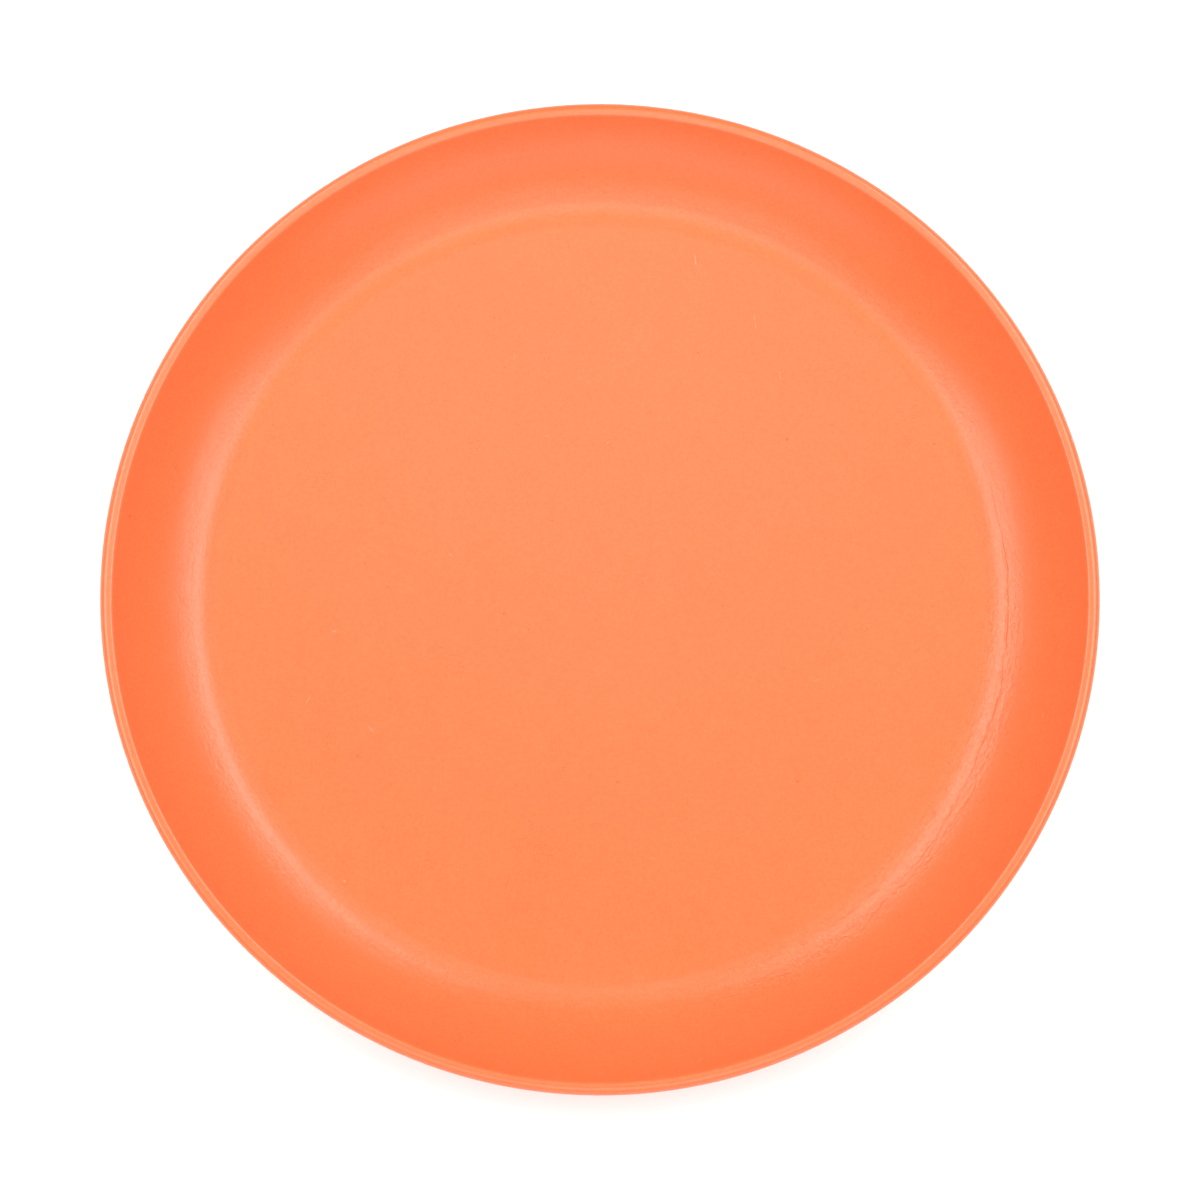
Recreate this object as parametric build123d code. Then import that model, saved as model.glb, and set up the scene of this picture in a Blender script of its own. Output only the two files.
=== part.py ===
from build123d import *
import os
from math import cos, radians, sin

# A flying disc, moulded in one piece, lying on its flight plate with the hollow side up.
# Millimetres, +Z up. The origin is the middle of the flat outer face that it lies on.

# Driving dimensions
disc_diameter = 250.0
disc_height = 22.0
plate_thickness = 2.0     # the flat flight plate
plate_radius = 96.5       # the flat runs out to here on both faces
lip_outer_radius = 2.0    # the lip's outer edge, which the hand meets, is well rounded
lip_inner_radius = 1.2    # its inner edge is tighter
lip_land = 0.3            # flat between the two
foot_radius = 14.0        # fillet inside, between the plate and the wall
foot_slope = 30.0         # degrees that the fillet turns before the longer wall arc takes over
ring_count = 8            # flight rings, the fine ridges on the outer shoulder
ring_pitch = 2.3          # from one ridge to the next, along the radius
ring_first_radius = 101.4 # radius of the innermost ridge
ring_wire_radius = 0.7    # each ridge is the top of a bead of this radius
ring_rise = 0.3           # height of each ridge above the shoulder

lip_outer_centre = Vector(disc_diameter / 2 - lip_outer_radius, disc_height - lip_outer_radius)
lip_inner_centre = Vector(lip_outer_centre.X - lip_land, disc_height - lip_inner_radius)


def along(slope):
    """Direction in the section's plane that climbs outwards at this slope."""
    return Vector(cos(radians(slope)), sin(radians(slope)))


def upward_normal(slope):
    """Normal of a surface of this slope, on its hollow side."""
    return Vector(-sin(radians(slope)), cos(radians(slope)))


def foot_end(plate_z, radius):
    """Where an arc that leaves the edge of the flat plate has turned by foot_slope."""
    centre = Vector(plate_radius, plate_z + radius)
    return centre - upward_normal(foot_slope) * radius


def wall_arc(start, edge_centre, edge_radius, side):
    """Centre and radius of the arc that leaves start at foot_slope and touches an edge of the lip.

    side is 1 for the hollow face, which passes inside the edge's circle, and -1 for the
    outer face, which wraps round it.
    """
    to_edge = edge_centre - start
    reach = to_edge.length ** 2 - edge_radius ** 2
    radius = reach / (2 * to_edge.dot(upward_normal(foot_slope)) + 2 * side * edge_radius)
    return start + upward_normal(foot_slope) * radius, radius


def touch_point(start, edge_centre, edge_radius, side):
    """Where the same arc meets the edge's circle."""
    centre, radius = wall_arc(start, edge_centre, edge_radius, side)
    return edge_centre - (edge_centre - centre).normalized() * side * edge_radius


def arc_middle(centre, touch, radius):
    """Middle of the short arc of a lip edge, from its touch point to its top."""
    return centre + (touch - centre + Vector(0, radius)).normalized() * radius


inner_foot = foot_end(plate_thickness, foot_radius)
outer_foot = foot_end(0, foot_radius + plate_thickness)
inner_touch = touch_point(inner_foot, lip_inner_centre, lip_inner_radius, 1)
outer_touch = touch_point(outer_foot, lip_outer_centre, lip_outer_radius, -1)


def shell_section():
    """Half section of the disc: plate, foot, wall and rounded lip, each tangent to the next."""
    plate_edge = Vector(plate_radius, 0)
    plate_edge_top = Vector(plate_radius, plate_thickness)
    lip_rim = lip_outer_centre + Vector(lip_outer_radius, 0)
    lip_top_outer = lip_outer_centre + Vector(0, lip_outer_radius)
    lip_top_inner = lip_inner_centre + Vector(0, lip_inner_radius)
    with BuildSketch(Plane.XY) as section:
        with BuildLine():
            Line((0, 0), plate_edge)
            TangentArc(plate_edge, outer_foot, tangent=along(0))
            TangentArc(outer_foot, outer_touch, tangent=along(foot_slope))
            ThreePointArc(outer_touch, lip_rim, lip_top_outer)
            Line(lip_top_outer, lip_top_inner)
            inner_edge_middle = arc_middle(lip_inner_centre, inner_touch, lip_inner_radius)
            ThreePointArc(lip_top_inner, inner_edge_middle, inner_touch)
            TangentArc(inner_foot, inner_touch, tangent=along(foot_slope))
            TangentArc(plate_edge_top, inner_foot, tangent=along(0))
            Line(plate_edge_top, (0, plate_thickness))
            Line((0, plate_thickness), (0, 0))
        make_face()
    return section.sketch


def ring_section(index):
    """Section of one flight ring: a small bead let into the outer face of the shoulder."""
    ring_radius = ring_first_radius + index * ring_pitch
    if ring_radius < outer_foot.X:
        radius = foot_radius + plate_thickness
        centre = Vector(plate_radius, radius)
    else:
        centre, radius = wall_arc(outer_foot, lip_outer_centre, lip_outer_radius, -1)
    run = ring_radius - centre.X
    surface = Vector(ring_radius, centre.Y - (radius ** 2 - run ** 2) ** 0.5)
    inwards = (centre - surface).normalized()
    bead_centre = surface + inwards * (ring_wire_radius - ring_rise)
    return Pos(bead_centre.X, bead_centre.Y) * Circle(ring_wire_radius)


def disc():
    """The whole disc: the section turned about the vertical axis."""
    section = shell_section()
    for index in range(ring_count):
        section += ring_section(index)
    return revolve(Plane.XZ * section, Axis.Z, 360)


os.makedirs("parts", exist_ok=True)
export_step(disc(), "parts/disc.step")
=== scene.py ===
import math

import bmesh
import bpy
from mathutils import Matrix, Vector


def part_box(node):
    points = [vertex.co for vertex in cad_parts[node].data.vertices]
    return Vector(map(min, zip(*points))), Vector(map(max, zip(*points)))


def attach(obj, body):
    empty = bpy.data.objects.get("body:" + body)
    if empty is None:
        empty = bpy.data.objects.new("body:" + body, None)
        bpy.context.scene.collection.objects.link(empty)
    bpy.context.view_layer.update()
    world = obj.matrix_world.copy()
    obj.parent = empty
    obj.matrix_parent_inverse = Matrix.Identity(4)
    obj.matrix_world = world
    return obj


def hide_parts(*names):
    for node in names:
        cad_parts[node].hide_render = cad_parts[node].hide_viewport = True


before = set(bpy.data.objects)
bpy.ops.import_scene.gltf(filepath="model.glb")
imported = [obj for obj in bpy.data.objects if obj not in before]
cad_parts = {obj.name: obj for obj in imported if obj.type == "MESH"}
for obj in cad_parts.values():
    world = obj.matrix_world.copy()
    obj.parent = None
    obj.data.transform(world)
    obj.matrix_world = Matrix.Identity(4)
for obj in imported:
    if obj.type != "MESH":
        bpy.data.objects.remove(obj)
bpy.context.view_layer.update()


# The disc is one injection moulding in self-coloured orange polyethylene: a flat flight
# plate, a fillet, a wall that steepens as it climbs and a fully rounded lip. The outer
# shoulder carries fine flight rings. It lies on the flat plate with its hollow side up.

low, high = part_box("disc")
MM = 0.001
disc_radius = (high.x - low.x) / 2
disc_height = high.z - low.z
plate_thickness = 2.0 * MM
plate_radius = 96.5 * MM
lip_outer_radius = 2.0 * MM
lip_inner_radius = 1.2 * MM
lip_land = 0.3 * MM
foot_radius = 14.0 * MM
foot_slope = math.radians(30)

ring_count = 8
ring_pitch = 2.3 * MM
ring_first_radius = 101.4 * MM
ring_width = 1.15 * MM
ring_rise = 0.34 * MM
crest_rounding = 0.34 * MM
root_rounding = 0.12 * MM

outer_foot_steps = 6
outer_wall_steps = 12
outer_lip_steps = 16
inner_lip_steps = 8
inner_wall_steps = 26
inner_foot_steps = 14
steps_round_disc = 480
weld_distance = 0.002 * MM

lip_outer_centre = Vector((disc_radius - lip_outer_radius, 0, disc_height - lip_outer_radius))
lip_inner_centre = Vector((lip_outer_centre.x - lip_land, 0, disc_height - lip_inner_radius))


def hollow_normal(slope):
    """Normal, on the hollow side, of a surface that climbs outwards at this slope."""
    return Vector((-math.sin(slope), 0, math.cos(slope)))


def foot_centre(plate_z, radius):
    """Centre of the arc that leaves the edge of the flat plate."""
    return Vector((plate_radius, 0, plate_z + radius))


def wall_arc(start, edge_centre, edge_radius, side):
    """Centre and turn of the arc that leaves start at foot_slope and touches an edge of the lip.

    side is 1 for the hollow face and -1 for the outer face, which wraps round the edge.
    """
    to_edge = edge_centre - start
    reach = to_edge.length_squared - edge_radius ** 2
    radius = reach / (2 * to_edge.dot(hollow_normal(foot_slope)) + 2 * side * edge_radius)
    centre = start + hollow_normal(foot_slope) * radius
    outwards = edge_centre - centre
    return centre, math.atan2(outwards.x, -outwards.z) - foot_slope


def level_run(bm, vert, radius):
    """Carries the section straight and level to this radius."""
    end = bmesh.ops.extrude_vert_indiv(bm, verts=[vert])["verts"][0]
    end.co.x = radius
    return end


def arc_from(bm, vert, centre, turn, steps):
    """Spins one vertex of the section about centre, and returns the arc's last vertex."""
    spun = bmesh.ops.spin(
        bm, geom=[vert], cent=centre, axis=(0, -1, 0), angle=turn, steps=steps, use_merge=False
    )
    return next(v for v in spun["geom_last"] if isinstance(v, bmesh.types.BMVert))


def arc_to_radius(bm, vert, centre, radius, steps=1):
    """Carries the section on round centre until it stands at this radius from the disc's axis."""
    size = (vert.co - centre).length
    now = math.asin((vert.co.x - centre.x) / size)
    goal = math.asin((radius - centre.x) / size)
    return arc_from(bm, vert, centre, goal - now, steps)


def flight_rings(bm, vert, foot, wall, wall_start):
    """The shoulder from the plate's edge to the last ring, each ring a ridge raised on the arc.

    The shoulder follows the arc about foot out to the radius wall_start, then the one about wall.
    """
    crests, roots = [], []
    centre = foot
    for index in range(ring_count):
        crest_radius = ring_first_radius + index * ring_pitch
        root_radius = crest_radius - ring_width / 2
        if centre is foot and root_radius > wall_start:
            vert = arc_to_radius(bm, vert, foot, wall_start)
            centre = wall
        steps = 1 if index else outer_foot_steps
        near_root = arc_to_radius(bm, vert, centre, root_radius, steps)
        crest = arc_to_radius(bm, near_root, centre, crest_radius)
        vert = arc_to_radius(bm, crest, centre, crest_radius + ring_width / 2)
        crest.co += (crest.co - centre).normalized() * ring_rise
        crests.append(crest)
        roots += [near_root, vert]
    return vert, crests, roots


def outer_face(bm):
    """The section from the axis out to the lip: its last vertex and slope, and the rings."""
    plate_edge = level_run(bm, bm.verts.new((0, 0, 0)), plate_radius)
    outer_foot_radius = foot_radius + plate_thickness
    foot = foot_centre(0, outer_foot_radius)
    foot_top = foot - hollow_normal(foot_slope) * outer_foot_radius
    wall, turn = wall_arc(foot_top, lip_outer_centre, lip_outer_radius, -1)
    last_ring, crests, roots = flight_rings(bm, plate_edge, foot, wall, foot_top.x)
    ring_slope = math.atan2(last_ring.co.x - wall.x, wall.z - last_ring.co.z)
    lip_slope = foot_slope + turn
    touch = arc_from(bm, last_ring, wall, lip_slope - ring_slope, outer_wall_steps)
    return touch, lip_slope, crests, roots


def lip_and_hollow_face(bm, vert, slope):
    """The section from the outer wall, over the lip and down the hollow face to the axis."""
    foot = foot_centre(plate_thickness, foot_radius)
    foot_top = foot - hollow_normal(foot_slope) * foot_radius
    wall, turn = wall_arc(foot_top, lip_inner_centre, lip_inner_radius, 1)
    lip_top = arc_from(bm, vert, lip_outer_centre, math.pi - slope, outer_lip_steps)
    land_end = level_run(bm, lip_top, lip_inner_centre.x)
    wall_end = arc_from(bm, land_end, lip_inner_centre, foot_slope + turn, inner_lip_steps)
    foot_end = arc_from(bm, wall_end, wall, -turn, inner_wall_steps)
    plate_end = arc_from(bm, foot_end, foot, -foot_slope, inner_foot_steps)
    level_run(bm, plate_end, 0)


def round_over(bm, verts, offset, segments):
    """Rounds corners of the section, before it is spun."""
    bmesh.ops.bevel(
        bm, geom=[v for v in verts if v.is_valid], offset=offset, affect="VERTICES",
        segments=segments, profile=0.5, material=-1,
    )


def moulded_shell():
    """The section, drawn arc by arc, spun into the closed shell."""
    bm = bmesh.new()
    touch, slope, crests, roots = outer_face(bm)
    lip_and_hollow_face(bm, touch, slope)
    bmesh.ops.remove_doubles(bm, verts=bm.verts[:], dist=weld_distance)
    round_over(bm, crests, crest_rounding, 3)
    round_over(bm, roots, root_rounding, 2)
    bmesh.ops.spin(
        bm, geom=bm.verts[:] + bm.edges[:], cent=(0, 0, 0), axis=(0, 0, 1),
        angle=math.tau, steps=steps_round_disc, use_merge=True,
    )
    bmesh.ops.remove_doubles(bm, verts=bm.verts[:], dist=weld_distance)
    bmesh.ops.recalc_face_normals(bm, faces=bm.faces[:])
    for face in bm.faces:
        face.smooth = True
    mesh = bpy.data.meshes.new("disc_moulding")
    bm.to_mesh(mesh)
    bm.free()
    piece = bpy.data.objects.new("disc_moulding", mesh)
    bpy.context.scene.collection.objects.link(piece)
    return piece


disc = moulded_shell()


# The disc's plastic is orange right through and satin from the mould, with a fine mottle,
# specks of regrind, short fibres, flow marks in the corner between plate and wall, and light
# scratches. Patterns are in millimetres, about the disc's own axis.

plastic = bpy.data.materials.new("orange_polyethylene")
plastic.use_nodes = True


def add(kind, inputs=None, **settings):
    """A node of the plastic, with its settings, and inputs that are either values or sockets."""
    made = plastic.node_tree.nodes.new(kind)
    for name, value in settings.items():
        setattr(made, name, value)
    for name, value in (inputs or {}).items():
        if isinstance(value, bpy.types.NodeSocket):
            plastic.node_tree.links.new(value, made.inputs[name])
        else:
            made.inputs[name].default_value = value
    return made


def joined(operation, first, *others):
    """Values, or sockets, taken two at a time with this operation."""
    total = first
    for value in others:
        total = add("ShaderNodeMath", {0: total, 1: value}, operation=operation).outputs[0]
    return total


def sum_of(*values):
    return joined("ADD", *values)


def product(*values):
    return joined("MULTIPLY", *values)


def largest(*values):
    return joined("MAXIMUM", *values)


def ramp(value, start, end, low=0.0, high=1.0):
    """Smooth step of value from low at start to high at end."""
    return add(
        "ShaderNodeMapRange",
        {"Value": value, "From Min": start, "From Max": end, "To Min": low, "To Max": high},
        interpolation_type="SMOOTHSTEP",
    ).outputs[0]


def noise(vector, scale, detail=2.0, roughness=0.5):
    return add(
        "ShaderNodeTexNoise",
        {"Vector": vector, "Scale": scale, "Detail": detail, "Roughness": roughness},
    ).outputs["Fac"]


metres = add("ShaderNodeTexCoord").outputs["Object"]
place = add("ShaderNodeVectorMath", {0: metres, "Scale": 1 / MM}, operation="SCALE").outputs[0]
x, y, height = add("ShaderNodeSeparateXYZ", {0: place}).outputs
across = add("ShaderNodeCombineXYZ", {0: x, 1: y}).outputs[0]
radius = add("ShaderNodeVectorMath", {0: across}, operation="LENGTH").outputs["Value"]
heading = add("ShaderNodeVectorMath", {0: across}, operation="NORMALIZE").outputs[0]
hollow_side = ramp(height, 1.0, 1.6)


def facing(degrees, full, gone):
    """1 within full degrees of this heading round the disc, fading to 0 at gone degrees."""
    way = (math.cos(math.radians(degrees)), math.sin(math.radians(degrees)), 0)
    toward = add("ShaderNodeVectorMath", {0: heading, 1: way}, operation="DOT_PRODUCT")
    return ramp(toward.outputs["Value"], math.cos(math.radians(gone)), math.cos(math.radians(full)))


def band(value, middle, half_width, softness):
    """1 where value is within half_width of middle, fading over softness."""
    off = add("ShaderNodeMath", {0: value, 1: middle}, operation="SUBTRACT").outputs[0]
    off = add("ShaderNodeMath", {0: off}, operation="ABSOLUTE").outputs[0]
    return ramp(off, half_width + softness, half_width)


def specks(cell, share, size, offset, stretch=(1, 1, 1)):
    """Spots up to size in radius, one in this share of cells, which are cell across."""
    moved = add("ShaderNodeMapping", {"Vector": place, "Location": offset, "Scale": stretch})
    cells = add("ShaderNodeTexVoronoi", {"Vector": moved.outputs[0], "Scale": 1 / cell})
    chosen = add("ShaderNodeSeparateColor", {0: cells.outputs["Color"]})
    present = ramp(chosen.outputs[0], share, share - 0.01)
    reach = product(chosen.outputs[1], size / cell)
    spot = add("ShaderNodeMath", {0: cells.outputs["Distance"], 1: reach}, operation="DIVIDE")
    return product(ramp(spot.outputs[0], 1.0, 0.4), present)


def scratch(x, y, length, width, turn):
    """A thin ellipse that fades to its edge, at x and y, turned by this many degrees."""
    laid = add(
        "ShaderNodeMapping",
        {
            "Vector": across, "Location": (x, y, 0), "Rotation": (0, 0, math.radians(turn)),
            "Scale": (length / 2, width / 2, 1),
        },
        vector_type="TEXTURE",
    ).outputs[0]
    return add("ShaderNodeTexGradient", {"Vector": laid}, gradient_type="SPHERICAL").outputs["Fac"]


def along_flow(round_scale, out_scale, detail):
    """Noise stretched along the rim: features per radian and per millimetre outwards."""
    turned = add("ShaderNodeVectorMath", {0: heading, "Scale": round_scale}, operation="SCALE")
    outwards = add("ShaderNodeCombineXYZ", {2: product(radius, out_scale)})
    laid = add("ShaderNodeVectorMath", {0: turned.outputs[0], 1: outwards.outputs[0]}, operation="ADD")
    return noise(laid.outputs[0], 1.0, detail, 0.6)


def crease(round_scale, swing, middle, half_width, softness):
    """A thin line round the disc that wanders in and out as it goes."""
    wander = sum_of(noise(heading, round_scale, 5.0, 0.65), -0.5)
    return band(sum_of(radius, product(wander, swing)), middle, half_width, softness)


def over(base, amount, tint):
    """Lays a tint on a colour."""
    return add("ShaderNodeMix", {"Factor": amount, 6: base, 7: tint}, data_type="RGBA").outputs[2]


# Regrind and pigment in the melt: a few dark specks, fewer pale ones and short pale fibres,
# which lie along X or along Y.
dark_specks = largest(specks(3.1, 0.30, 0.36, (3, 7, 1)), specks(7.3, 0.35, 0.50, (40, 2, 9)))
fibres = largest(
    specks(7.9, 0.14, 0.5, (5, 1, 8), (1.1, 0.35, 1)),
    specks(9.4, 0.12, 0.5, (71, 15, 3), (0.38, 1.1, 1)),
)
pale_specks = largest(specks(8.7, 0.22, 0.50, (11, 31, 4)), fibres)

# Light scratches and one pale fleck on the hollow side, each with its x, y, length, width and
# turn. They come and go along their length.
scratches = largest(*(scratch(*mark) for mark in (
    (24.5, 88.5, 4.2, 0.35, 97), (39.8, 72.0, 6.5, 0.32, 98), (2.0, 41.0, 1.6, 0.4, 40),
    (-74.0, -25.0, 3.0, 0.35, 60), (-58.0, -32.5, 2.6, 0.35, 130), (-67.5, -7.5, 2.2, 0.4, 20),
    (-64.5, -71.0, 0.9, 0.7, 0), (46.0, 58.5, 3.4, 0.28, 100), (12.0, 84.0, 5.0, 0.25, 3),
    (-22.0, 63.0, 2.4, 0.3, 75), (55.0, -20.0, 3.6, 0.25, 25), (-38.0, 12.0, 2.0, 0.3, 150),
)))
skips = ramp(noise(place, 1.4, 3.0, 0.7), 0.38, 0.62, 0.25, 1.0)
scratches = product(ramp(scratches, 0.0, 0.6), skips, hollow_side)

# Flow marks where the melt turned the corner into the wall: streaks that run round the disc
# with grain and pebbling over them, strongest on one side, and a few wandering creases. The creases are
# shallow grooves, and the colour is painted darker along them as shade.
corner_zone = product(band(radius, 102.3, 2.8, 3.5), hollow_side)
flow_zone = product(corner_zone, facing(-35, 18, 46))
streaks = along_flow(9, 1.4, 4.0)
grain = along_flow(75, 1.6, 3.0)
pebbling = noise(place, 1.1, 3.0, 0.7)
flow_marks = sum_of(product(streaks, 0.40), product(grain, 0.50), product(pebbling, 0.70), -0.80)
flow_marks = product(flow_marks, sum_of(product(flow_zone, 0.5), product(corner_zone, 0.6)))

patchy = ramp(noise(place, 0.16, 3.0, 0.6), 0.38, 0.60, 0.15, 1.0)
main_crease = product(crease(4.0, 5.0, 103.3, 0.12, 0.35), facing(-12, 14, 34))
main_crease = product(main_crease, sum_of(0.3, product(patchy, 0.7)))
side_creases = largest(crease(7.0, 6.0, 100.8, 0.08, 0.30), crease(9.0, 7.0, 105.2, 0.08, 0.35))
side_creases = product(side_creases, facing(-45, 14, 26), patchy)
crease_grooves_and_shade = product(largest(main_crease, side_creases), hollow_side)

# Two pale tints that aren't wear and aren't marks on a real disc. They stand in for light that
# this studio doesn't throw on the lip's inner edge and on the corner of the plate towards +Y,
# and they stay on the disc from every side.
near_lip_top = ramp(height, disc_height / MM - 1.1, disc_height / MM - 0.25)
inner_lip = ramp(radius, disc_radius / MM - 1.3, disc_radius / MM - 2.1)
fine_break = ramp(noise(place, 0.9, 4.0, 0.65), 0.25, 0.75, 0.55, 1.0)
broad_break = ramp(noise(heading, 1.3, 1.0), 0.30, 0.60, 0.5, 1.0)
unevenness = product(fine_break, broad_break)
lip_tint = product(near_lip_top, inner_lip, unevenness, largest(facing(105, 60, 125), 0.25))
corner_tint = product(band(radius, 100.8, 1.2, 2.4), facing(90, 55, 82), hollow_side)


def plastic_colour():
    """One orange, mottled at three scales, then the marks and the two tints laid on it."""
    mottle = sum_of(
        product(noise(place, 0.02, 3.0), 0.12),
        product(noise(place, 0.22, 2.0), 0.12),
        product(noise(place, 1.3, 3.0, 0.75), 0.94),
        flow_marks,
        -0.09,
    )
    colour = over((0.90, 0.118, 0.032, 1), mottle, (1.0, 0.214, 0.076, 1))
    colour = over(colour, product(corner_tint, 0.10), (1.0, 0.33, 0.135, 1))
    colour = over(colour, product(dark_specks, 0.60), (0.55, 0.07, 0.02, 1))
    colour = over(colour, product(pale_specks, 0.32), (1.0, 0.34, 0.20, 1))
    colour = over(colour, product(scratches, 0.55), (1.0, 0.40, 0.26, 1))
    # Painted shade: the colour is darker along the crease grooves.
    colour = over(colour, product(crease_grooves_and_shade, 0.22), (0.78, 0.11, 0.03, 1))
    return over(colour, product(lip_tint, 0.45), (1.0, 0.25, 0.13, 1))


def plastic_roughness():
    """Satin and uneven, duller at scratches and dark specks, glossier in the flow marks."""
    return sum_of(
        0.215,
        product(noise(place, 0.035, 4.0, 0.6), 0.10),
        product(noise(place, 2.5, 2.0), 0.06),
        product(flow_zone, -0.05),
        product(scratches, 0.2),
        product(dark_specks, 0.1),
    )


def plastic_relief():
    """Height in millimetres: mould grain, a broad unevenness, then the marks and dark specks."""
    return sum_of(
        product(noise(place, 1.1, 3.0, 0.6), 0.020),
        product(noise(place, 0.09, 2.0), 0.06),
        product(flow_marks, 0.16),
        product(crease_grooves_and_shade, -0.07),
        product(scratches, -0.03),
        product(dark_specks, 0.015),
    )


shader = plastic.node_tree.nodes["Principled BSDF"]
shader.inputs["IOR"].default_value = 1.5
relief = add("ShaderNodeBump", {"Height": plastic_relief(), "Distance": MM, "Strength": 1.0})
plastic.node_tree.links.new(plastic_colour(), shader.inputs["Base Color"])
plastic.node_tree.links.new(plastic_roughness(), shader.inputs["Roughness"])
plastic.node_tree.links.new(relief.outputs[0], shader.inputs["Normal"])

disc.data.materials.append(plastic)
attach(disc, "root")
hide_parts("disc")


# The studio floor is a round sheet of white paper. It gives off a little light of its own, so
# that it comes nearer to plain white than the soft boxes alone would make it.

def paper_floor():
    """The sheet, and its paper."""
    bm = bmesh.new()
    bmesh.ops.create_circle(bm, cap_ends=True, radius=1.0, segments=96)
    mesh = bpy.data.meshes.new("studio_floor")
    bm.to_mesh(mesh)
    bm.free()
    sheet = bpy.data.objects.new("studio_floor", mesh)
    bpy.context.scene.collection.objects.link(sheet)
    paper = bpy.data.materials.new("white_paper")
    paper.use_nodes = True
    surface = paper.node_tree.nodes["Principled BSDF"]
    surface.inputs["Base Color"].default_value = (0.9, 0.9, 0.9, 1)
    surface.inputs["Roughness"].default_value = 0.9
    surface.inputs["Emission Color"].default_value = (1, 1, 1, 1)
    surface.inputs["Emission Strength"].default_value = 0.16
    mesh.materials.append(paper)
    return sheet


paper_floor()


# The lights are five soft boxes that face the disc: a long one on each side, one above the
# front, one low in front of it and a small one near the top. Azimuth 0 is +X and 90 is +Y.

def soft_box(name, azimuth, zenith, width, height, watts, distance=1.0):
    """A rectangular soft light, aimed at the origin."""
    light = bpy.data.lights.new(name, "AREA")
    light.shape = "RECTANGLE"
    light.size = width
    light.size_y = height
    light.energy = watts
    lamp = bpy.data.objects.new(name, light)
    a, z = math.radians(azimuth), math.radians(zenith)
    way = Vector((math.sin(z) * math.cos(a), math.sin(z) * math.sin(a), math.cos(z)))
    lamp.location = distance * way
    lamp.rotation_mode = "QUATERNION"
    lamp.rotation_quaternion = lamp.location.to_track_quat("Z", "Y")
    bpy.context.scene.collection.objects.link(lamp)


soft_box("side_right", azimuth=21, zenith=42, width=1.30, height=0.42, watts=10.1)
soft_box("side_left", azimuth=159, zenith=42, width=1.30, height=0.42, watts=9.9)
soft_box("front", azimuth=270, zenith=35, width=1.10, height=0.52, watts=4.5)
soft_box("front_low", azimuth=270, zenith=78, width=2.20, height=0.50, watts=4.6, distance=1.2)
soft_box("top_fill", azimuth=90, zenith=14, width=0.30, height=0.30, watts=0.6)


# The room gives hardly any light, so that the soft boxes shape the disc. Only to the camera is
# it white, past the edge of the paper.

def dim_room(strength):
    """A world that lights the disc at this strength, and that the camera sees as white."""
    world = bpy.data.worlds.new("studio")
    world.use_nodes = True
    nodes, links = world.node_tree.nodes, world.node_tree.links
    room = nodes["Background"]
    room.inputs["Color"].default_value = (1, 1, 1, 1)
    room.inputs["Strength"].default_value = strength
    white_behind = nodes.new("ShaderNodeBackground")
    white_behind.inputs["Color"].default_value = (1, 1, 1, 1)
    seen = nodes.new("ShaderNodeMixShader")
    links.new(nodes.new("ShaderNodeLightPath").outputs["Is Camera Ray"], seen.inputs["Fac"])
    links.new(room.outputs[0], seen.inputs[1])
    links.new(white_behind.outputs[0], seen.inputs[2])
    links.new(seen.outputs[0], nodes["World Output"].inputs["Surface"])
    return world


bpy.context.scene.world = dim_room(0.03)


# The camera looks almost straight down from a little to the front, with the disc a good
# five sixths of the frame's width.

camera_tilt = math.radians(7.3)
camera_distance = 1.1
aim_to_front = 0.0021
look_at = Vector((0, -aim_to_front, disc_height))
frame_to_disc = 1.198
camera_data = bpy.data.cameras.new("camera")
camera_data.sensor_width = 36
camera_data.lens = camera_data.sensor_width * camera_distance / (2 * disc_radius * frame_to_disc)
camera = bpy.data.objects.new("camera", camera_data)
camera.location = look_at + camera_distance * Vector((0, -math.sin(camera_tilt), math.cos(camera_tilt)))
camera.rotation_mode = "QUATERNION"
camera.rotation_quaternion = (camera.location - look_at).to_track_quat("Z", "Y")
bpy.context.scene.collection.objects.link(camera)
bpy.context.scene.camera = camera
bpy.context.scene.view_settings.view_transform = "Standard"
